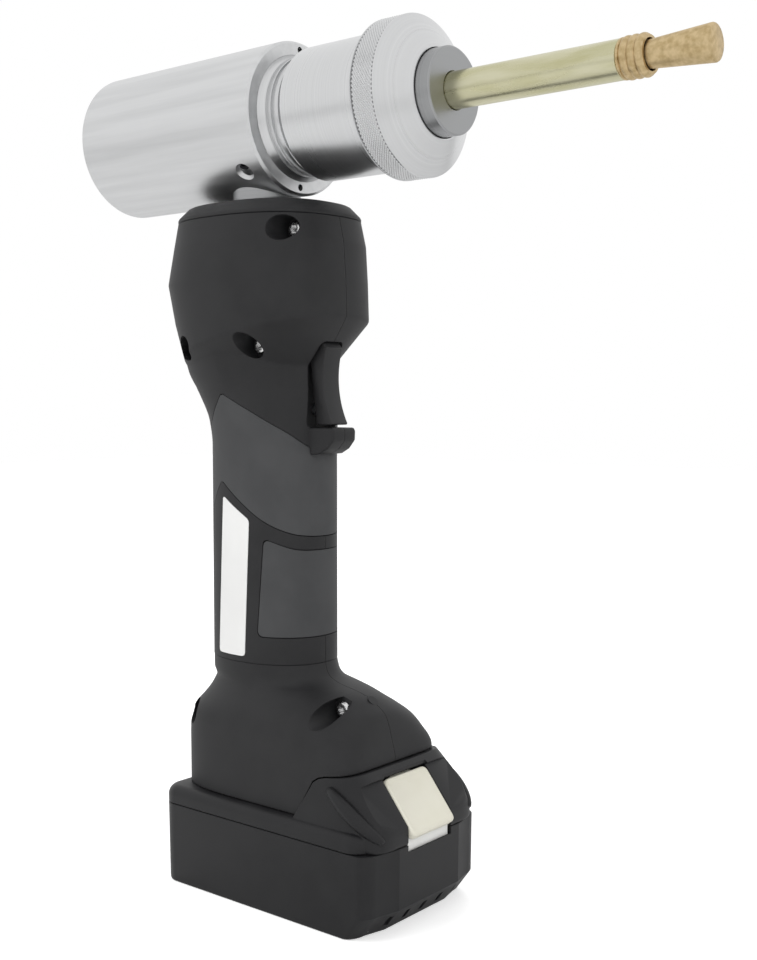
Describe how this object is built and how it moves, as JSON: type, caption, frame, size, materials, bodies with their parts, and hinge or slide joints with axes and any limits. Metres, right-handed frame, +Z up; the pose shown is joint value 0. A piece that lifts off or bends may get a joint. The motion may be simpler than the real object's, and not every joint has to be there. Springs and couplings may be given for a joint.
{
  "type": "plug installation tool",
  "caption": "Battery-driven hydraulic puller with a swivel head that draws a tapered pin into a ribbed ring to seal a tube end, worked by a pistol grip trigger.",
  "frame": {"origin": "on the floor under the handle's axis, at the flat base of the battery pack", "axes": "+X forward along the head towards the plug, +Y to the tool's left, +Z up"},
  "size_m": [0.2795, 0.072, 0.3445],
  "materials": {
    "brushed_head": "brushed, soft long streaks",
    "polished_cap": "turned bright, diamond knurl on the band",
    "bush_steel": "grey turned steel",
    "yellow_zinc": "yellow passivated zinc",
    "plug_brass": "dull machined brass",
    "black_housing": "fine textured black",
    "grip_rubber": "dark grey moulded rubber",
    "white_label": "bare white label",
    "bright_screw": "bright steel",
    "black_trigger": "smooth black",
    "black_pack": "fine textured black",
    "cream_button": "cream",
    "clear_window": "clear window",
    "black_oxide": "black oxide",
    "inner_steel": "ground steel",
    "inner_aluminium": "machined",
    "seal_rubber": "black seal",
    "lead_cover": "soft lead cover",
    "green_board": "coated circuit board",
    "inner_plastic": "moulded",
    "contact_brass": "plated contacts",
    "cell_can": "sleeved cell"
  },
  "bodies": {
    "handle": {"housing_right": "black_housing", "housing_left": "black_housing", "top_collar": "black_housing", "upper_grip": "grip_rubber", "lower_grip": "grip_rubber", "label_plate": "white_label", "foot_right": "black_housing", "foot_left": "black_housing", "foot_screws": "bright_screw", "housing_screws": "bright_screw", "indicator_window": "clear_window", "terminal_block": "inner_plastic", "tool_terminals": "contact_brass", "control_board": "green_board", "motor_leads": "lead_cover", "switch_leads": "lead_cover", "trigger_switch": "inner_plastic", "trigger_spring": "inner_steel", "trigger_pivot_pin": "inner_steel", "motor_can": "inner_steel", "ring_gear": "inner_steel", "gearbox_cover": "inner_aluminium", "carrier_bearing": "inner_steel", "pump_block": "inner_aluminium", "pump_plunger": "inner_steel", "oil_bladder": "seal_rubber"},
    "head": {"cylinder_body": "brushed_head", "swivel_neck": "brushed_head", "swivel_seal": "seal_rubber", "port_set_screw": "black_oxide", "gland_ring": "brushed_head", "rod_seal": "seal_rubber", "nose_sleeve": "brushed_head", "nose_bush": "bush_steel", "positioner_tube": "yellow_zinc", "plug_ring": "plug_brass", "return_spring": "inner_steel"},
    "ram": {"ram_piston": "inner_steel", "piston_seal": "seal_rubber", "pull_rod": "inner_steel", "breakaway_stud": "plug_brass", "plug_pin": "plug_brass"},
    "cap_carrier": {"cap_thrust_washer": "inner_steel"},
    "cap": {"knurled_cap": "polished_cap"},
    "trigger": {"trigger": "black_trigger"},
    "battery": {"battery_case": "black_pack", "battery_cover": "black_pack", "battery_cells": "cell_can", "cell_holder": "inner_plastic", "cell_links": "contact_brass", "pack_board": "green_board", "pack_terminals": "contact_brass", "battery_screws": "bright_screw", "button_spring": "inner_steel"},
    "battery_button": {"battery_button": "cream_button"},
    "rotor": {"motor_rotor": "inner_steel"},
    "carrier": {"gear_carrier": "inner_steel"},
    "planet_1": {"planet_gear_1": "inner_steel"},
    "planet_2": {"planet_gear_2": "inner_steel"},
    "planet_3": {"planet_gear_3": "inner_steel"}
  },
  "joints": [
    {"name": "head_swivel", "type": "hinge", "parent": "handle", "child": "head", "pos_m": [-0.0035, 0, 0.26], "axis": [0, 0, 1], "range_deg": [-175, 175]},
    {"name": "ram_stroke", "type": "slide", "parent": "head", "child": "ram", "axis": [-1, 0, 0], "range_m": [0, 0.008], "stiffness_N_per_m": 1500, "springref_m": -0.012, "deforming": ["return_spring"]},
    {"name": "cap_travel", "type": "slide", "parent": "head", "child": "cap_carrier", "axis": [1, 0, 0], "range_m": [0, 0.003]},
    {"name": "cap_turn", "type": "hinge", "parent": "cap_carrier", "child": "cap", "pos_m": [0.0759, 0, 0.314], "axis": [1, 0, 0], "range_deg": [0, 540]},
    {"name": "trigger_pull", "type": "hinge", "parent": "handle", "child": "trigger", "pos_m": [0.027, 0, 0.227], "axis": [0, 1, 0], "range_deg": [0, 6], "stiffness_Nm_per_rad": 0.6, "springref_deg": -5.73, "deforming": ["trigger_spring"]},
    {"name": "battery_slide", "type": "slide", "parent": "handle", "child": "battery", "axis": [1, 0, 0], "range_m": [0, 0.115]},
    {"name": "battery_button_press", "type": "slide", "parent": "battery", "child": "battery_button", "axis": [0, 0, -1], "range_m": [0, 0.004], "stiffness_N_per_m": 700, "springref_m": -0.002, "deforming": ["button_spring"]},
    {"name": "motor_spin", "type": "hinge", "parent": "handle", "child": "rotor", "pos_m": [0, 0, 0.13], "axis": [0, 0, 1], "continuous": true},
    {"name": "carrier_spin", "type": "hinge", "parent": "handle", "child": "carrier", "pos_m": [0, 0, 0.19], "axis": [0, 0, 1], "continuous": true},
    {"name": "planet_spin_1", "type": "hinge", "parent": "carrier", "child": "planet_1", "pos_m": [0.0096, 0, 0.173], "axis": [0, 0, 1], "continuous": true},
    {"name": "planet_spin_2", "type": "hinge", "parent": "carrier", "child": "planet_2", "pos_m": [-0.0048, 0.00831, 0.173], "axis": [0, 0, 1], "continuous": true},
    {"name": "planet_spin_3", "type": "hinge", "parent": "carrier", "child": "planet_3", "pos_m": [-0.0048, -0.00831, 0.173], "axis": [0, 0, 1], "continuous": true}
  ],
  "couplings": [
    {"joint": "cap_travel", "follows": "cap_turn", "m_per_rad": 0.00031831},
    {"joint": "carrier_spin", "follows": "motor_spin", "ratio": 0.25},
    {"joint": "planet_spin_1", "follows": "motor_spin", "ratio": -0.75},
    {"joint": "planet_spin_2", "follows": "motor_spin", "ratio": -0.75},
    {"joint": "planet_spin_3", "follows": "motor_spin", "ratio": -0.75}
  ]
}
